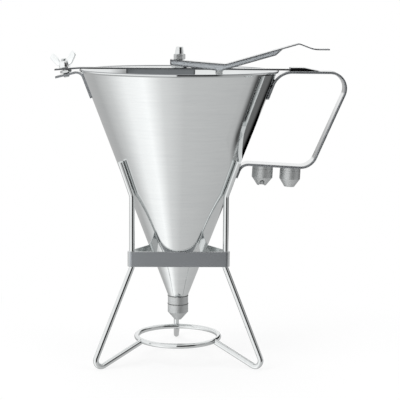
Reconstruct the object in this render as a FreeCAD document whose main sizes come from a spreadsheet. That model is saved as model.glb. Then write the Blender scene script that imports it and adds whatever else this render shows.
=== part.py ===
import FreeCAD, Part
import math
import os
import re

import Sketcher
from FreeCAD import Vector

# Dosing funnel on a wire stand: a sheet cone with a valve rod down its middle,
# a thumb lever on a bridge across its mouth, a loop handle that stores two
# spare nozzles, and three bent wire legs held by a triangular band and a ring.
# Lengths are in millimetres and angles in degrees. The origin is on the
# cone's axis at the level that the feet stand on, +Z up, +X to the handle.

doc = FreeCAD.newDocument("DosingFunnel")

SIZES = (
    # stand
    ("leg_wire_radius", 2.75),
    ("ring_wire_radius", 2.5),
    ("ring_radius", 41.5),
    ("stand_yaw", 1.94),
    ("leg_top", 203.5),
    ("leg_upper_bend", 10.0),
    ("leg_band_bend", 5.0),
    ("foot_bend", 6.35),
    ("leg_splay", 24.5),
    ("spoke_rise", 24.2),
    ("band_top", 114.8),
    ("band_depth", 15.2),
    ("band_sheet", 1.5),
    ("seat_gap", 0.3),
    # cone and outlet
    ("cone_angle", 20.917),
    ("cone_sheet", 1.0),
    ("neck_radius", 9.9),
    ("neck_height", 64.7),
    ("rim_height", 291.8),
    ("lip_reach", 2.75),
    ("lip_depth", 3.2),
    ("lip_bead", 1.8),
    ("lip_round", 0.8),
    ("collar_radius", 10.2),
    ("collar_depth", 8.1),
    ("collar_insert", 6.3),
    ("seat_angle", 37.0),
    ("seat_lip", 1.2),
    ("throat_radius", 4.0),
    ("spigot_radius", 7.5),
    ("spigot_length", 6.0),
    # nozzles
    ("nozzle_radius", 10.3),
    ("nozzle_barrel", 8.4),
    ("nozzle_taper", 8.0),
    ("nozzle_socket", 7.0),
    ("nozzle_inlet", 5.5),
    ("tip_wall", 0.85),
    ("fitted_outlet", 2.5),
    ("left_outlet", 3.5),
    ("right_outlet", 4.1),
    ("notch_width", 4.8),
    ("notch_height", 6.0),
    ("screw_gap", 0.1),
    ("thread_gap", 0.08),
    # handle
    ("handle_width", 25.0),
    ("handle_sheet", 2.5),
    ("handle_sink", 0.2),
    ("handle_grip", 26.5),
    ("handle_depth", 92.2),
    ("handle_foot", 13.7),
    ("handle_side_angle", 23.35),
    ("handle_reach", 73.0),
    ("run_tilt", 2.8),
    ("handle_neck_bend", 20.0),
    ("handle_top_bend", 15.5),
    ("handle_low_bend", 16.0),
    ("handle_root_bend", 10.0),
    ("weld_sink", 0.5),
    ("boss_height", 3.0),
    ("left_boss_offset", 21.24),
    ("boss_spacing", 27.5),
    # keeper on the handle
    ("keeper_offset", 10.5),
    ("keeper_flat", 14.0),
    ("keeper_slope", 14.8),
    ("keeper_sheet", 1.15),
    ("keeper_width", 21.0),
    ("keeper_play", 0.15),
    # bridge bar
    ("bar_width", 16.0),
    ("bar_sheet", 1.5),
    ("bar_lift", 0.2),
    ("bar_entry", 9.3),
    ("bar_flange_depth", 8.0),
    ("flange_left", 52.0),
    ("flange_right", 15.5),
    ("flange_corner", 3.0),
    ("ear_half_width", 2.8),
    ("ear_below", 2.9),
    ("ear_round", 2.4),
    ("droop_inset", 1.2),
    ("droop_length", 25.4),
    ("droop_angle", 4.4),
    ("droop_bend", 6.0),
    # stud bracket and clamp
    ("bracket_width", 20.0),
    ("bracket_sheet", 2.0),
    ("bracket_drop", 2.2),
    ("bracket_grip", 26.2),
    ("bracket_bend", 7.0),
    ("tab_angle", 14.0),
    ("tab_length", 25.8),
    ("stud_reach", 15.3),
    ("stud_angle", 10.0),
    ("stud_radius", 3.0),
    ("stud_above", 11.0),
    ("stud_below", 7.6),
    ("stud_hole_play", 0.4),
    ("nut_flats", 10.0),
    ("thin_nut_height", 2.7),
    ("wing_base_radius", 5.8),
    ("wing_crown_radius", 4.9),
    ("wing_hub_height", 6.3),
    ("wing_span", 32.6),
    ("wing_height", 15.4),
    ("wing_thick", 2.2),
    ("wing_turn", -32.0),
    # guide bush
    ("bush_radius", 5.0),
    ("bush_shoulder_radius", 10.0),
    ("bush_shoulder", 2.0),
    ("bush_spigot", 4.0),
    ("bush_spigot_radius", 5.5),
    ("bush_above", 3.0),
    ("bush_nut_flats", 14.0),
    ("bush_nut_height", 2.6),
    # plunger
    ("rod_radius", 3.0),
    ("rod_above", 15.5),
    ("running_gap", 0.05),
    ("plug_gap", 0.25),
    ("plug_height", 6.8),
    ("plug_hub_radius", 4.5),
    ("plug_hub", 8.0),
    ("pilot_gap", 0.8),
    ("pilot_length", 5.0),
    ("seat_disc_radius", 10.0),
    ("seat_disc", 2.5),
    ("seat_hub_radius", 5.5),
    ("seat_hub", 6.0),
    ("cross_pin_radius", 1.0),
    ("cross_pin_overhang", 1.5),
    ("cap_nut_height", 12.6),
    ("cap_hex_height", 5.6),
    ("cap_dome_radius", 4.7),
    ("cap_crown_radius", 3.5),
    ("cap_crown_round", 0.9),
    ("cap_gap", 0.1),
    # return spring
    ("spring_radius", 8.1),
    ("spring_wire_radius", 0.9),
    ("spring_length", 47.5),
    ("spring_turns", 8.0),
    # thumb lever
    ("lever_width", 19.4),
    ("lever_sheet", 1.2),
    ("lever_lift", 7.6),
    ("lever_tail", 9.0),
    ("lever_fall", 4.3),
    ("lever_elbow", 45.4),
    ("lever_rise", 16.3),
    ("lever_elbow_bend", 8.0),
    ("lever_flange_end", 94.4),
    ("lever_web_end", 100.9),
    ("tail_depth", 5.3),
    ("flange_depth", 6.2),
    ("lever_peak", 117.2),
    ("thumb_start", 131.7),
    ("thumb_drop", 5.4),
    ("thumb_end", 146.9),
    ("peak_bend", 3.0),
    ("thumb_bend", 22.0),
    ("pivot_reach", 39.0),
    ("pivot_drop", 5.0),
    ("pivot_radius", 2.0),
    ("pivot_head_radius", 3.4),
    ("pivot_head", 1.0),
    ("lug_half_width", 3.3),
    ("lug_below", 3.4),
    ("lug_round", 3.0),
    ("slot_tail", 6.2),
    ("slot_nose", 3.5),
    ("slot_width", 6.8),
    ("slot_round", 3.2),
)

# Formulas on the sizes above, each after the ones that it needs.
WORKED = (
    ("cone_slope", "tan(cone_angle)"),
    ("cone_wall", "cone_sheet / cos(cone_angle)"),
    ("flare_height", "rim_height - lip_depth"),
    ("flare_radius", "neck_radius + (flare_height - neck_height) * cone_slope"),
    ("lip_radius", "flare_radius + lip_reach"),
    # stand
    ("band_inradius", "neck_radius + (band_top - neck_height) * cone_slope + seat_gap"),
    ("leg_radius", "2 * (band_inradius - leg_wire_radius)"),
    ("lean_offset", "(leg_wire_radius + seat_gap) / cos(cone_angle)"),
    ("lean_foot", "neck_height + (leg_radius - lean_offset - neck_radius) / cone_slope"),
    ("lean_top_radius", "leg_radius + (leg_top - lean_foot) * cone_slope"),
    ("band_base", "band_top - band_depth"),
    ("splay_height", "band_base - leg_band_bend * tan(leg_splay / 2)"),
    ("foot_half", "(90 - leg_splay - spoke_rise) / 2"),
    ("foot_corner_height", "leg_wire_radius + foot_bend"
                           " * (1 - sin(spoke_rise + foot_half) / sin(foot_half))"),
    ("foot_corner_radius", "leg_radius + (splay_height - foot_corner_height)"
                           " * tan(leg_splay)"),
    ("ring_height", "foot_corner_height + (foot_corner_radius - ring_radius)"
                    " * tan(spoke_rise)"),
    ("spoke_end_radius", "ring_radius + ring_wire_radius / 2 * cos(spoke_rise)"),
    ("spoke_end_height", "ring_height - ring_wire_radius / 2 * sin(spoke_rise)"),
    # outlet
    ("collar_base", "neck_height - collar_depth"),
    ("spigot_base", "collar_base - spigot_length"),
    ("insert_top", "neck_height + collar_insert"),
    ("insert_radius", "neck_radius - cone_wall + collar_insert * cone_slope"),
    ("seat_radius", "insert_radius - seat_lip"),
    ("seat_base", "insert_top - (seat_radius - throat_radius) / tan(seat_angle)"),
    # bridge bar
    ("bar_under", "rim_height + bar_lift"),
    ("bar_top", "bar_under + bar_sheet"),
    ("bar_mid", "bar_under + bar_sheet / 2"),
    ("keeper_start", "lip_radius + keeper_offset"),
    ("bar_end", "keeper_start + bar_entry"),
    ("flange_base", "bar_top - bar_flange_depth"),
    ("droop_start", "lip_radius - droop_inset"),
    ("stud_x", "-droop_start - stud_reach * cos(droop_angle)"),
    ("stud_z", "bar_under - stud_reach * sin(droop_angle)"),
    ("nut_corner", "nut_flats / 2 / cos(30)"),
    ("thin_nut_drop", "thin_nut_height + nut_corner * sin(stud_angle - droop_angle)"),
    ("wing_base", "bar_sheet + screw_gap + wing_base_radius"
                  " * sin(stud_angle - droop_angle)"),
    # stud bracket
    ("bracket_height", "rim_height - bracket_drop"),
    ("bracket_offset", "(bracket_sheet / 2 - weld_sink) / cos(cone_angle) + neck_radius"
                       " - neck_height * cone_slope"),
    ("bracket_x", "-bracket_height * cone_slope - bracket_offset"),
    ("bracket_end_x", "-(bracket_height - bracket_grip) * cone_slope - bracket_offset"),
    # handle
    ("handle_top", "rim_height - handle_sink"),
    ("top_run", "handle_top - handle_sheet / 2"),
    ("hug_offset", "(handle_sheet / 2 - weld_sink) / cos(cone_angle) + neck_radius"
                   " - neck_height * cone_slope"),
    ("run_height", "rim_height - handle_depth"),
    ("handle_neck_x", "top_run * cone_slope + hug_offset"),
    ("handle_root_x", "run_height * cone_slope + hug_offset"),
    ("high_corner_x", "lip_radius + handle_reach"),
    ("side_slope", "tan(handle_side_angle)"),
    ("run_slope", "tan(run_tilt)"),
    ("low_corner_x", "(high_corner_x - (top_run - run_height) * side_slope"
                     " + handle_root_x * run_slope * side_slope)"
                     " / (1 + run_slope * side_slope)"),
    ("low_corner_z", "run_height - (low_corner_x - handle_root_x) * run_slope"),
    ("run_under", "run_height + handle_root_x * run_slope"
                  " - handle_sheet / 2 / cos(run_tilt)"),
    ("left_boss_x", "handle_root_x + left_boss_offset"),
    ("right_boss_x", "left_boss_x + boss_spacing"),
    # keeper
    ("keeper_ceiling", "bar_top + keeper_play"),
    ("keeper_top", "keeper_ceiling + keeper_sheet"),
    ("keeper_knee_x", "keeper_start + keeper_flat"),
    ("keeper_end_x", "keeper_knee_x + keeper_slope"),
    ("keeper_fall", "atan((keeper_top - handle_top) / keeper_slope) / 1deg"),
    # spring and plunger
    ("spring_top", "flange_base - bush_shoulder"),
    ("spring_base", "spring_top - spring_length"),
    ("seat_disc_base", "spring_base - seat_disc"),
    ("cross_pin_height", "seat_disc_base - seat_hub / 2"),
    ("plug_base", "seat_base + plug_gap"),
    ("plug_top", "plug_base + plug_height"),
    ("plug_radius", "throat_radius + plug_height * tan(seat_angle)"),
    ("pilot_radius", "throat_radius - pilot_gap"),
    ("pilot_top", "plug_base - pilot_gap / tan(seat_angle)"),
    ("rod_end", "bar_top + rod_above"),
    # thumb lever
    ("lever_height", "bar_top + lever_lift"),
    ("tail_height", "lever_height + lever_tail * tan(lever_fall)"),
    ("elbow_height", "lever_height - lever_elbow * tan(lever_fall)"),
    ("elbow_spread", "lever_sheet / (1 + cos(lever_rise + lever_fall))"),
    ("elbow_under_x", "lever_elbow + elbow_spread * (sin(lever_rise) - sin(lever_fall))"),
    ("elbow_under_z", "elbow_height - elbow_spread * (cos(lever_rise) + cos(lever_fall))"),
    ("peak_height", "elbow_height + (lever_peak - lever_elbow) * tan(lever_rise)"),
    ("thumb_height", "peak_height - thumb_drop"),
    ("thumb_fall", "atan(thumb_drop / (thumb_start - lever_peak)) / 1deg"),
    ("peak_spread", "lever_sheet / (1 + cos(lever_rise + thumb_fall))"),
    ("peak_under_x", "lever_peak + peak_spread * (sin(lever_rise) - sin(thumb_fall))"),
    ("peak_under_z", "peak_height - peak_spread * (cos(lever_rise) + cos(thumb_fall))"),
    ("thumb_under_x", "thumb_start - lever_sheet * tan(thumb_fall / 2)"),
    ("pivot_height", "bar_top - pivot_drop"),
    ("cap_base", "lever_height + nut_corner * tan(lever_fall) + cap_gap"),
)

sizes = doc.addObject("Spreadsheet::Sheet", "Sizes")
for line, (alias, value) in enumerate(SIZES, start=1):
    sizes.set(f"A{line}", alias)
    sizes.set(f"B{line}", str(value))
    sizes.setAlias(f"B{line}", alias)
doc.recompute()

SIZE_WORD = re.compile(r"\b(" + "|".join(alias for alias, _ in SIZES) + r")\b")
WORKED_WORD = re.compile(r"\b(" + "|".join(alias for alias, _ in WORKED) + r")\b")

worked = doc.addObject("Spreadsheet::Sheet", "Worked")
for line, (alias, formula) in enumerate(WORKED, start=1):
    worked.set(f"A{line}", alias)
    worked.set(f"B{line}", "=" + SIZE_WORD.sub(r"Sizes.\1", formula))
    worked.setAlias(f"B{line}", alias)
doc.recompute()

# An object of no shape that formulas are put to for their present values.
asker = doc.addObject("App::FeaturePython", "Asker")

PARTS = []


def spelled(formula):
    """The formula with the sheet named before each of its cells."""
    text = SIZE_WORD.sub(r"Sizes.\1", str(formula))
    return WORKED_WORD.sub(r"Worked.\1", text)


def number(formula):
    """The present value of a formula."""
    value = asker.evalExpression(spelled(formula))
    return float(getattr(value, "Value", value))


def bind(item, prop, formula):
    """Hold a property to a formula."""
    item.setExpression(prop, spelled(formula))


def keep(item, label):
    """Name a finished sub-part and put it on the list of files to write."""
    item.Label = label
    PARTS.append(item)
    return item


def new_body(name):
    return doc.addObject("PartDesign::Body", name)


def origin_plane(body, role):
    for feature in body.Origin.OriginFeatures:
        if feature.Role == role:
            return feature
    raise RuntimeError(f"no {role} in {body.Name}")


def new_sketch(body, name, role, offset=None):
    """A sketch on one of the body's origin planes, moved along its normal by a formula."""
    sketch = body.newObject("Sketcher::SketchObject", name)
    sketch.AttachmentSupport = [(origin_plane(body, role), "")]
    sketch.MapMode = "FlatFace"
    if offset is not None:
        bind(sketch, "AttachmentOffset.Base.z", offset)
    return sketch


def hold_point(sketch, geometry, vertex, corner):
    """Hold one end of a line or a circle's centre at a corner given by two formulas."""
    for axis, formula in zip("XY", corner):
        value = number(formula)
        index = sketch.addConstraint(
            Sketcher.Constraint(f"Distance{axis}", -1, 1, geometry, vertex, value))
        sketch.setExpression(f"Constraints[{index}]", spelled(formula))


def corner_vectors(corners):
    return [Vector(number(x), number(y), 0) for x, y in corners]


def half_angle(points, index):
    """Half the angle at a corner between the edges that meet there."""
    back = points[index - 1] - points[index]
    ahead = points[(index + 1) % len(points)] - points[index]
    return back.getAngle(ahead) / 2


def rounded(sketch, corners, radii, closed):
    """Draw straight edges through corners held by formulas, with an arc at each radius.

    A radius is the name of a size, or None for a sharp corner.
    """
    points = corner_vectors(corners)
    count = len(points)
    spans = count if closed else count - 1
    leave = []
    reach = []
    for index, point in enumerate(points):
        radius = radii[index]
        inner = closed or 0 < index < count - 1
        if radius is None or not inner:
            leave.append(point)
            reach.append(point)
            continue
        back = (points[index - 1] - point).normalize()
        ahead = (points[(index + 1) % count] - point).normalize()
        tangent = number(radius) / math.tan(half_angle(points, index))
        reach.append(point + back * tangent)
        leave.append(point + ahead * tangent)
    lines = []
    for index in range(spans):
        start = leave[index]
        end = reach[(index + 1) % count]
        lines.append(sketch.addGeometry(Part.LineSegment(start, end), False))
    for index, point in enumerate(points):
        radius = radii[index]
        inner = closed or 0 < index < count - 1
        before = lines[index - 1] if inner else None
        after = lines[index] if index < spans else None
        if not inner:
            end = (after, 1) if index == 0 else (lines[-1], 2)
            hold_point(sketch, end[0], end[1], corners[index])
            continue
        if radius is None:
            sketch.addConstraint(Sketcher.Constraint("Coincident", before, 2, after, 1))
            hold_point(sketch, after, 1, corners[index])
            continue
        centre = point + ((reach[index] + leave[index]) / 2 - point).normalize() * (
            number(radius) / math.sin(half_angle(points, index)))
        left_turn = (point - reach[index]).cross(leave[index] - point).z > 0
        first, last = (1, 2) if left_turn else (2, 1)
        ends = (reach[index], leave[index]) if left_turn else (leave[index], reach[index])
        start, stop = (math.atan2(end.y - centre.y, end.x - centre.x) for end in ends)
        if stop < start:
            stop += 2 * math.pi
        circle = Part.Circle(centre, Vector(0, 0, 1), number(radius))
        arc = sketch.addGeometry(Part.ArcOfCircle(circle, start, stop), False)
        sketch.addConstraint(Sketcher.Constraint("Tangent", before, 2, arc, first))
        sketch.addConstraint(Sketcher.Constraint("Tangent", arc, last, after, 1))
        size = sketch.addConstraint(Sketcher.Constraint("Radius", arc, number(radius)))
        sketch.setExpression(f"Constraints[{size}]", spelled(radius))
        mark = sketch.addGeometry(Part.Point(point), True)
        hold_point(sketch, mark, 1, corners[index])
        sketch.addConstraint(Sketcher.Constraint("PointOnObject", mark, 1, before))
        sketch.addConstraint(Sketcher.Constraint("PointOnObject", mark, 1, after))
    return sketch


def sharp(sketch, corners):
    return rounded(sketch, corners, [None] * len(corners), True)


def circle_at(sketch, corner, radius):
    """Draw a circle whose centre and radius are formulas."""
    centre = corner_vectors([corner])[0]
    circle = sketch.addGeometry(Part.Circle(centre, Vector(0, 0, 1), number(radius)), False)
    hold_point(sketch, circle, 3, corner)
    size = sketch.addConstraint(Sketcher.Constraint("Radius", circle, number(radius)))
    sketch.setExpression(f"Constraints[{size}]", spelled(radius))
    return sketch


def turned(name, corners, radii=None):
    """A body turned about its Z axis from corners given as radius and height."""
    body = new_body(name)
    sketch = new_sketch(body, name + "_profile", "XZ_Plane")
    rounded(sketch, corners, radii or [None] * len(corners), True)
    turn = body.newObject("PartDesign::Revolution", name + "_turn")
    turn.Profile = sketch
    turn.ReferenceAxis = (sketch, ["V_Axis"])
    turn.Angle = 360
    return body


def pad(body, name, sketch, length, midplane=True):
    feature = body.newObject("PartDesign::Pad", name)
    feature.Profile = sketch
    feature.Midplane = midplane
    bind(feature, "Length", length)
    return feature


def pocket(body, name, sketch, length, midplane=True, reverse=False):
    feature = body.newObject("PartDesign::Pocket", name)
    feature.Profile = sketch
    feature.Midplane = midplane
    feature.Reversed = reverse
    bind(feature, "Length", length)
    return feature


def bent_strip(name, corners, radii, width, sheet):
    """A flat strip bent along a path in the XZ plane, its width along Y."""
    body = new_body(name)
    add_strip(body, name, corners, radii, width, sheet)
    return body


def add_strip(body, name, corners, radii, width, sheet):
    path = new_sketch(body, name + "_path", "XZ_Plane")
    rounded(path, corners, radii, False)
    doc.recompute()
    profile = body.newObject("Sketcher::SketchObject", name + "_section")
    profile.AttachmentSupport = [(path, "Edge1")]
    profile.MapMode = "NormalToEdge"
    profile.MapPathParameter = 0
    doc.recompute()
    across = profile.Placement.Rotation.multVec(Vector(1, 0, 0))
    lies_along_y = abs(across.y) > 0.5
    half_x = width if lies_along_y else sheet
    half_y = sheet if lies_along_y else width
    sharp(profile, [(f"-({half_x}) / 2", f"-({half_y}) / 2"), (f"({half_x}) / 2", f"-({half_y}) / 2"),
                    (f"({half_x}) / 2", f"({half_y}) / 2"), (f"-({half_x}) / 2", f"({half_y}) / 2")])
    pipe = body.newObject("PartDesign::AdditivePipe", name + "_bend")
    pipe.Profile = profile
    pipe.Spine = (path, [])
    return pipe


def bent_wire(name, corners, radii, radius):
    """A round wire bent along a path in the XZ plane."""
    body = new_body(name)
    path = new_sketch(body, name + "_path", "XZ_Plane")
    rounded(path, corners, radii, False)
    doc.recompute()
    profile = body.newObject("Sketcher::SketchObject", name + "_section")
    profile.AttachmentSupport = [(path, "Edge1")]
    profile.MapMode = "NormalToEdge"
    profile.MapPathParameter = 0
    circle_at(profile, ("0", "0"), radius)
    pipe = body.newObject("PartDesign::AdditivePipe", name + "_bend")
    pipe.Profile = profile
    pipe.Spine = (path, [])
    return body


def plain(kind, name, sizes_of, placement=None):
    """A Part primitive whose dimensions and place are formulas."""
    item = doc.addObject("Part::" + kind, name)
    for prop, formula in sizes_of.items():
        bind(item, prop, formula)
    if placement:
        bind(item, "Placement", placement)
    return item


def cut(name, base, tool):
    item = doc.addObject("Part::Cut", name)
    item.Base = base
    item.Tool = tool
    return item


def raised(height):
    """A place on the Z axis at a height."""
    return f"placement(vector(0; 0; {height}); rotation(vector(0; 0; 1); 0))"


def leaning(x, z, angle, turn="0"):
    """A place in the XZ plane, leaning about Y after a turn about its own axis."""
    return (f"placement(vector({x}; 0; {z}); rotation(vector(0; 1; 0); {angle})"
            f" * rotation(vector(0; 0; 1); {turn}))")


def build_ring():
    ring = plain("Torus", "ring", {"Radius1": "ring_radius", "Radius2": "ring_wire_radius"},
                 raised("ring_height"))
    return keep(ring, "base_ring")


def build_leg(label, azimuth, ring):
    """A wire leg that leans on the cone, stands in the band and turns in to the ring."""
    wire = bent_wire(
        label + "_wire",
        [("lean_top_radius", "leg_top"), ("leg_radius", "lean_foot"),
         ("leg_radius", "splay_height"), ("foot_corner_radius", "foot_corner_height"),
         ("spoke_end_radius", "spoke_end_height")],
        [None, "leg_upper_bend", "leg_band_bend", "foot_bend", None],
        "leg_wire_radius")
    bind(wire, "Placement", f"placement(vector(0; 0; 0); rotation(vector(0; 0; 1);"
                            f" stand_yaw + {azimuth}))")
    return keep(cut(label + "_cut", wire, ring), label)


def build_band():
    """The sheet band that wraps the three wires in a rounded triangle."""
    body = new_body("band")
    sketch = new_sketch(body, "band_outline", "XY_Plane", "band_base")
    for inradius, corner in (("band_inradius + band_sheet", "leg_wire_radius + band_sheet"),
                             ("band_inradius", "leg_wire_radius")):
        corners = [(f"2 * ({inradius}) * cos(stand_yaw + {azimuth})",
                    f"2 * ({inradius}) * sin(stand_yaw + {azimuth})")
                   for azimuth in (90, 210, 330)]
        rounded(sketch, corners, [corner] * 3, True)
    pad(body, "band_wall", sketch, "band_depth", midplane=False)
    return keep(body, "stand_band")


def build_cone():
    cone = turned("cone", [
        ("neck_radius - cone_wall", "neck_height"), ("neck_radius", "neck_height"),
        ("flare_radius", "flare_height"), ("lip_radius", "rim_height - lip_bead"),
        ("lip_radius", "rim_height"), ("lip_radius - lip_bead", "rim_height"),
        ("flare_radius - cone_wall", "flare_height")],
        [None, None, None, "lip_round", "lip_round", "lip_round", None])
    return keep(cone, "funnel_cone")


def build_collar():
    """The outlet collar: seat for the valve inside, spigot for a nozzle below."""
    collar = turned("collar", [
        ("throat_radius", "spigot_base"), ("spigot_radius", "spigot_base"),
        ("spigot_radius", "collar_base"), ("collar_radius", "collar_base"),
        ("collar_radius", "neck_height"), ("neck_radius - cone_wall", "neck_height"),
        ("insert_radius", "insert_top"), ("seat_radius", "insert_top"),
        ("throat_radius", "seat_base")])
    return keep(collar, "outlet_collar")


def build_nozzle(name, top, outlet):
    """A nozzle with its socket's mouth at the given height."""
    return turned(name, [
        ("spigot_radius + thread_gap", top), ("nozzle_radius", top),
        ("nozzle_radius", f"{top} - nozzle_barrel"),
        (f"{outlet} + tip_wall", f"{top} - nozzle_barrel - nozzle_taper"),
        (outlet, f"{top} - nozzle_barrel - nozzle_taper"),
        (outlet, f"{top} - nozzle_socket - nozzle_inlet"),
        ("spigot_radius + thread_gap", f"{top} - nozzle_socket")])


def build_spare(side, outlet, notched):
    """A threaded boss under the handle and the spare nozzle screwed on it."""
    reach = side + "_boss_x"
    placement = leaning(reach, f"run_under - {reach} * run_slope", "run_tilt")
    boss = turned(side + "_boss", [
        ("0", "0"), ("0", "-boss_height - spigot_length"),
        ("spigot_radius", "-boss_height - spigot_length"), ("spigot_radius", "-boss_height"),
        ("collar_radius", "-boss_height"), ("collar_radius", "0")])
    bind(boss, "Placement", placement)
    keep(boss, "nozzle_boss_" + side)
    nozzle = build_nozzle(side + "_spare", "-boss_height - screw_gap", outlet)
    if notched:
        tip = "-boss_height - screw_gap - nozzle_barrel - nozzle_taper"
        sketch = new_sketch(nozzle, "notch_outline", "XZ_Plane")
        rounded(sketch,
                [("-notch_width / 2", f"{tip} - 1"), ("notch_width / 2", f"{tip} - 1"),
                 ("notch_width / 2", f"{tip} + notch_height"),
                 ("-notch_width / 2", f"{tip} + notch_height")],
                [None, None, "notch_width * 0.45", "notch_width * 0.45"], True)
        pocket(nozzle, "notch", sketch, "nozzle_radius", midplane=False, reverse=True)
    bind(nozzle, "Placement", placement)
    keep(nozzle, "spare_nozzle_" + side)


def build_handle(cone_solid):
    strip = bent_strip(
        "handle",
        [("handle_neck_x - handle_grip * cone_slope", "top_run - handle_grip"),
         ("handle_neck_x", "top_run"), ("high_corner_x", "top_run"),
         ("low_corner_x", "low_corner_z"), ("handle_root_x", "run_height"),
         ("handle_root_x - handle_foot * cone_slope", "run_height - handle_foot")],
        [None, "handle_neck_bend", "handle_top_bend", "handle_low_bend",
         "handle_root_bend", None],
        "handle_width", "handle_sheet")
    keep(cut("handle_cut", strip, cone_solid), "handle_strip")


def build_keeper():
    """The hood on the handle that the bridge bar's end slides into."""
    body = new_body("keeper")
    outside = new_sketch(body, "keeper_outline", "XZ_Plane")
    sharp(outside, [("keeper_start", "handle_top"), ("keeper_end_x", "handle_top"),
                    ("keeper_knee_x", "keeper_top"), ("keeper_start", "keeper_top")])
    pad(body, "keeper_block", outside, "keeper_width")
    inside = new_sketch(body, "keeper_room", "XZ_Plane")
    wall = "keeper_sheet * (1 - 1 / cos(keeper_fall)) / tan(keeper_fall)"
    sharp(inside, [
        ("keeper_start - 1", "handle_top"),
        ("keeper_end_x - keeper_sheet / sin(keeper_fall)", "handle_top"),
        (f"keeper_knee_x + {wall}", "keeper_ceiling"), ("keeper_start - 1", "keeper_ceiling")])
    pocket(body, "keeper_hollow", inside, "bar_width + 2 * keeper_play")
    return keep(body, "handle_keeper")


def build_bracket(cone_solid, stud):
    """The strip on the cone's left side whose tab holds the clamp stud."""
    strip = bent_strip(
        "bracket",
        [("bracket_end_x", "bracket_height - bracket_grip"), ("bracket_x", "bracket_height"),
         ("bracket_x - tab_length * cos(tab_angle)",
          "bracket_height - tab_length * sin(tab_angle)")],
        [None, "bracket_bend", None], "bracket_width", "bracket_sheet")
    welded = cut("bracket_weld", strip, cone_solid)
    keep(cut("bracket_hole", welded, stud), "stud_bracket")


def build_bar():
    """The bridge across the mouth, with a channel in the middle and a drooped end."""
    body = bent_strip(
        "bar",
        [("bar_end", "bar_mid"), ("-droop_start", "bar_mid"),
         ("-droop_start - droop_length * cos(droop_angle)",
          "bar_mid - droop_length * sin(droop_angle)")],
        [None, "droop_bend", None], "bar_width", "bar_sheet")
    flanges = new_sketch(body, "flange_outline", "XZ_Plane")
    rounded(flanges,
            [("-flange_left", "bar_mid"), ("-flange_left", "flange_base"),
             ("flange_right", "flange_base"), ("flange_right", "bar_mid")],
            [None, "flange_corner", "flange_corner", None], True)
    pad(body, "flanges", flanges, "bar_width")
    ears = new_sketch(body, "ear_outline", "XZ_Plane")
    rounded(ears,
            [("pivot_reach - ear_half_width", "bar_mid"),
             ("pivot_reach - ear_half_width", "pivot_height - ear_below"),
             ("pivot_reach + ear_half_width", "pivot_height - ear_below"),
             ("pivot_reach + ear_half_width", "bar_mid")],
            [None, "ear_round", "ear_round", None], True)
    pad(body, "ears", ears, "bar_width")
    room = new_sketch(body, "channel_room", "XZ_Plane")
    far = "pivot_reach + ear_half_width + 1"
    deep = "flange_base - 1"
    sharp(room, [("-flange_left - 1", "bar_under"), ("-flange_left - 1", deep),
                 (far, deep), (far, "bar_under")])
    pocket(body, "channel", room, "bar_width - 2 * bar_sheet")
    hole = new_sketch(body, "bush_hole_outline", "XY_Plane", "bar_mid")
    circle_at(hole, ("0", "0"), "bush_radius")
    pocket(body, "bush_hole", hole, "4 * bar_sheet")
    hole = new_sketch(body, "stud_hole_outline", "XY_Plane", "stud_z")
    circle_at(hole, ("stud_x", "0"), "stud_radius + stud_hole_play")
    pocket(body, "stud_hole", hole, "6 * bar_sheet")
    hole = new_sketch(body, "pivot_hole_outline", "XZ_Plane")
    circle_at(hole, ("pivot_reach", "pivot_height"), "pivot_radius + running_gap")
    pocket(body, "pivot_hole", hole, "2 * bar_width")
    return keep(body, "bridge_bar")


def build_clamp():
    """The stud, the thin nut under the bar and the wing nut on it."""
    stud = plain("Cylinder", "stud", {"Radius": "stud_radius",
                                      "Height": "stud_above + stud_below"},
                 "placement(vector(stud_x + stud_below * sin(stud_angle); 0;"
                 " stud_z - stud_below * cos(stud_angle));"
                 " rotation(vector(0; 1; 0); -stud_angle))")
    keep(stud, "clamp_stud")
    hexagon = plain("Prism", "thin_hexagon",
                    {"Circumradius": "nut_corner", "Height": "thin_nut_height"},
                    "placement(vector(stud_x + thin_nut_drop * sin(stud_angle); 0;"
                    " stud_z - thin_nut_drop * cos(stud_angle));"
                    " rotation(vector(0; 1; 0); -stud_angle))")
    keep(cut("thin_nut_bore", hexagon, stud), "stud_nut")
    base = "wing_base"
    body = turned("wing", [
        ("stud_radius + thread_gap", base), ("wing_base_radius", base),
        ("wing_crown_radius", f"{base} + wing_hub_height"),
        ("stud_radius + thread_gap", f"{base} + wing_hub_height")])
    for name, side in (("left", "-"), ("right", "")):
        sketch = new_sketch(body, f"{name}_wing_outline", "XZ_Plane")
        rounded(sketch,
                [(f"{side}wing_span * 0.12", f"{base} + wing_height * 0.08"),
                 (f"{side}wing_span * 0.27", f"{base} + wing_height * 0.16"),
                 (f"{side}wing_span / 2", f"{base} + wing_height * 0.74"),
                 (f"{side}wing_span * 0.37", f"{base} + wing_height"),
                 (f"{side}wing_span * 0.23", f"{base} + wing_height * 0.73"),
                 (f"{side}wing_span * 0.12", f"{base} + wing_height * 0.34")],
                [None, "wing_height * 0.35", "wing_height * 0.14", "wing_height * 0.07",
                 "wing_height * 0.6", None], True)
        pad(body, f"{name}_wing", sketch, "wing_thick")
    bind(body, "Placement", leaning("stud_x", "stud_z", "-stud_angle", "wing_turn"))
    keep(body, "wing_nut")
    return stud


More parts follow.
